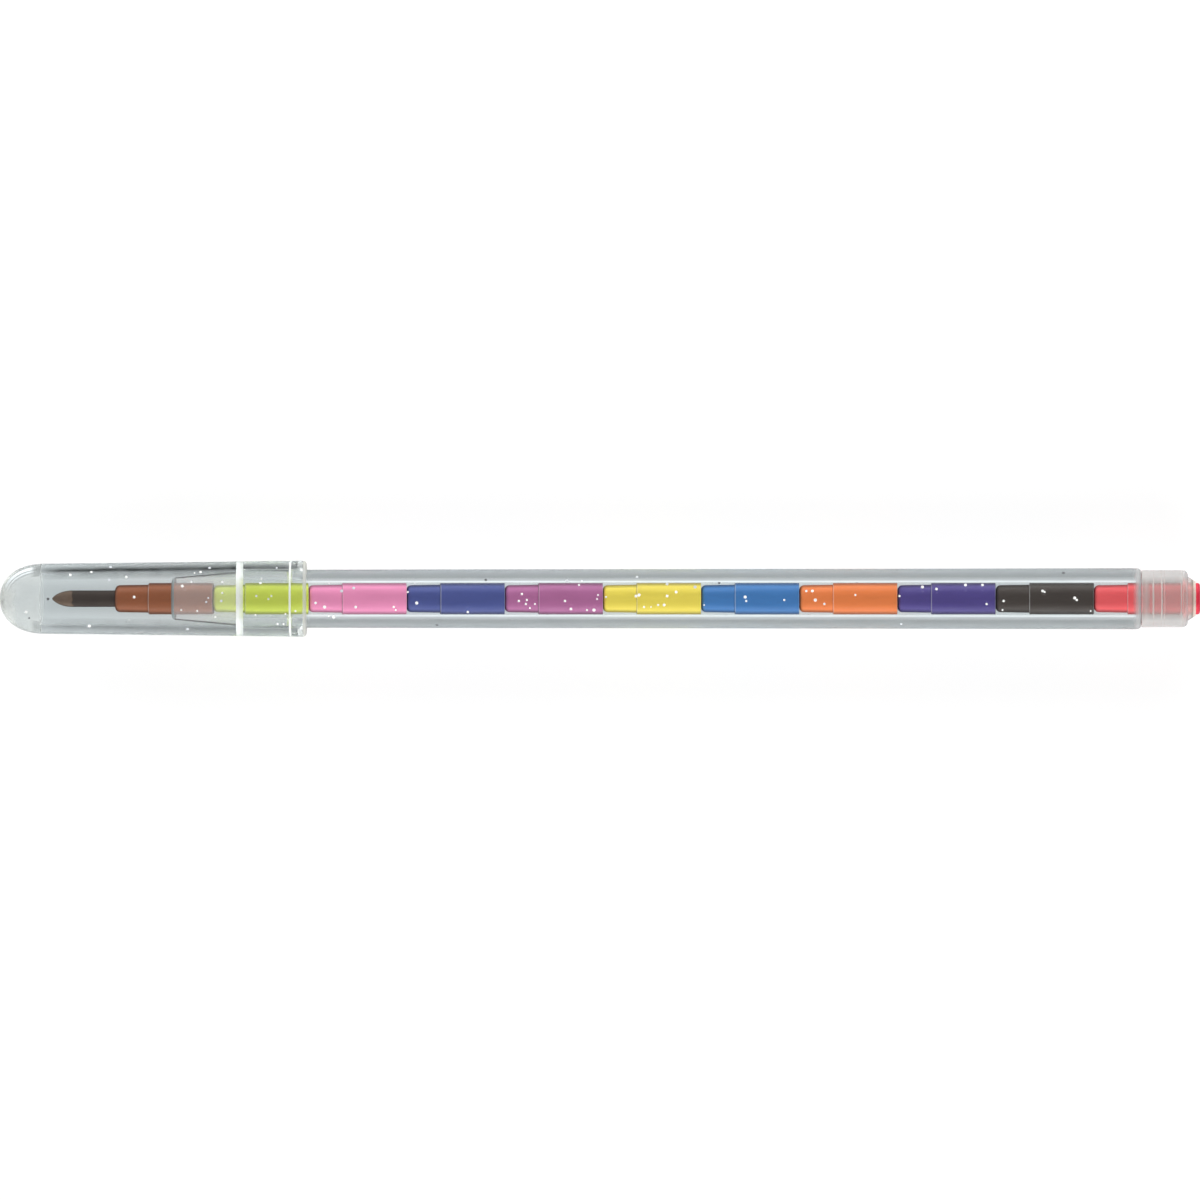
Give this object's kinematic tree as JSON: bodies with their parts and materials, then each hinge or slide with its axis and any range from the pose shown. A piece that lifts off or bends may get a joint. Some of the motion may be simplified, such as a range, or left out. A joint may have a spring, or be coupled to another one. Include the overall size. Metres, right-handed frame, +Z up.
{
  "type": "stackable crayon",
  "caption": "Clear capped barrel with a row of short coloured crayons, each with its wax point in the tail of the one ahead; a worn one is drawn out and pushed in at the tail.",
  "frame": {"origin": "on the surface that the crayon lies on, under the middle of its length", "axes": "+X along the axis from the cap's closed end to the tail, +Z up, +Y across"},
  "size_m": [0.16, 0.01, 0.0101],
  "materials": {
    "clear_plastic": "clear and glossy, with small bright flakes of glitter in the wall",
    "frosted_plastic": "frosted, milky",
    "sleeve_brown": "satin moulded plastic",
    "wax_brown": "waxy",
    "sleeve_lime": "satin moulded plastic",
    "wax_lime": "waxy",
    "sleeve_pink": "satin moulded plastic",
    "wax_pink": "waxy",
    "sleeve_dark_blue": "satin moulded plastic",
    "wax_dark_blue": "waxy",
    "sleeve_purple": "satin moulded plastic",
    "wax_purple": "waxy",
    "sleeve_yellow": "satin moulded plastic",
    "wax_yellow": "waxy",
    "sleeve_blue": "satin moulded plastic",
    "wax_blue": "waxy",
    "sleeve_orange": "satin moulded plastic",
    "wax_orange": "waxy",
    "sleeve_violet": "satin moulded plastic",
    "wax_violet": "waxy",
    "sleeve_black": "satin moulded plastic",
    "wax_black": "waxy",
    "sleeve_red": "satin moulded plastic",
    "wax_red": "waxy"
  },
  "bodies": {
    "barrel": {"barrel": "clear_plastic", "tail_collar": "frosted_plastic"},
    "cap": {"cap": "clear_plastic"},
    "crayon_01": {"sleeve_01_brown": "sleeve_brown", "lead_01_brown": "wax_brown"},
    "crayon_02": {"sleeve_02_lime": "sleeve_lime", "lead_02_lime": "wax_lime"},
    "crayon_03": {"sleeve_03_pink": "sleeve_pink", "lead_03_pink": "wax_pink"},
    "crayon_04": {"sleeve_04_dark_blue": "sleeve_dark_blue", "lead_04_dark_blue": "wax_dark_blue"},
    "crayon_05": {"sleeve_05_purple": "sleeve_purple", "lead_05_purple": "wax_purple"},
    "crayon_06": {"sleeve_06_yellow": "sleeve_yellow", "lead_06_yellow": "wax_yellow"},
    "crayon_07": {"sleeve_07_blue": "sleeve_blue", "lead_07_blue": "wax_blue"},
    "crayon_08": {"sleeve_08_orange": "sleeve_orange", "lead_08_orange": "wax_orange"},
    "crayon_09": {"sleeve_09_violet": "sleeve_violet", "lead_09_violet": "wax_violet"},
    "crayon_10": {"sleeve_10_black": "sleeve_black", "lead_10_black": "wax_black"},
    "crayon_11": {"sleeve_11_red": "sleeve_red", "lead_11_red": "wax_red"}
  },
  "joints": [
    {"name": "cap_pull", "type": "slide", "parent": "barrel", "child": "cap", "axis": [-1, 0, 0], "range_m": [0, 0.045]},
    {"name": "feed_11", "type": "slide", "parent": "barrel", "child": "crayon_11", "axis": [1, 0, 0], "range_m": [0, 0.01305]},
    {"name": "feed_01", "type": "slide", "parent": "barrel", "child": "crayon_01", "axis": [1, 0, 0], "range_m": [0, 0.01305]},
    {"name": "feed_02", "type": "slide", "parent": "barrel", "child": "crayon_02", "axis": [1, 0, 0], "range_m": [0, 0.01305]},
    {"name": "feed_03", "type": "slide", "parent": "barrel", "child": "crayon_03", "axis": [1, 0, 0], "range_m": [0, 0.01305]},
    {"name": "feed_04", "type": "slide", "parent": "barrel", "child": "crayon_04", "axis": [1, 0, 0], "range_m": [0, 0.01305]},
    {"name": "feed_05", "type": "slide", "parent": "barrel", "child": "crayon_05", "axis": [1, 0, 0], "range_m": [0, 0.01305]},
    {"name": "feed_06", "type": "slide", "parent": "barrel", "child": "crayon_06", "axis": [1, 0, 0], "range_m": [0, 0.01305]},
    {"name": "feed_07", "type": "slide", "parent": "barrel", "child": "crayon_07", "axis": [1, 0, 0], "range_m": [0, 0.01305]},
    {"name": "feed_08", "type": "slide", "parent": "barrel", "child": "crayon_08", "axis": [1, 0, 0], "range_m": [0, 0.01305]},
    {"name": "feed_09", "type": "slide", "parent": "barrel", "child": "crayon_09", "axis": [1, 0, 0], "range_m": [0, 0.01305]},
    {"name": "feed_10", "type": "slide", "parent": "barrel", "child": "crayon_10", "axis": [1, 0, 0], "range_m": [0, 0.01305]}
  ],
  "couplings": [
    {"joint": "feed_01", "follows": "feed_11", "ratio": 1},
    {"joint": "feed_02", "follows": "feed_11", "ratio": 1},
    {"joint": "feed_03", "follows": "feed_11", "ratio": 1},
    {"joint": "feed_04", "follows": "feed_11", "ratio": 1},
    {"joint": "feed_05", "follows": "feed_11", "ratio": 1},
    {"joint": "feed_06", "follows": "feed_11", "ratio": 1},
    {"joint": "feed_07", "follows": "feed_11", "ratio": 1},
    {"joint": "feed_08", "follows": "feed_11", "ratio": 1},
    {"joint": "feed_09", "follows": "feed_11", "ratio": 1},
    {"joint": "feed_10", "follows": "feed_11", "ratio": 1}
  ]
}
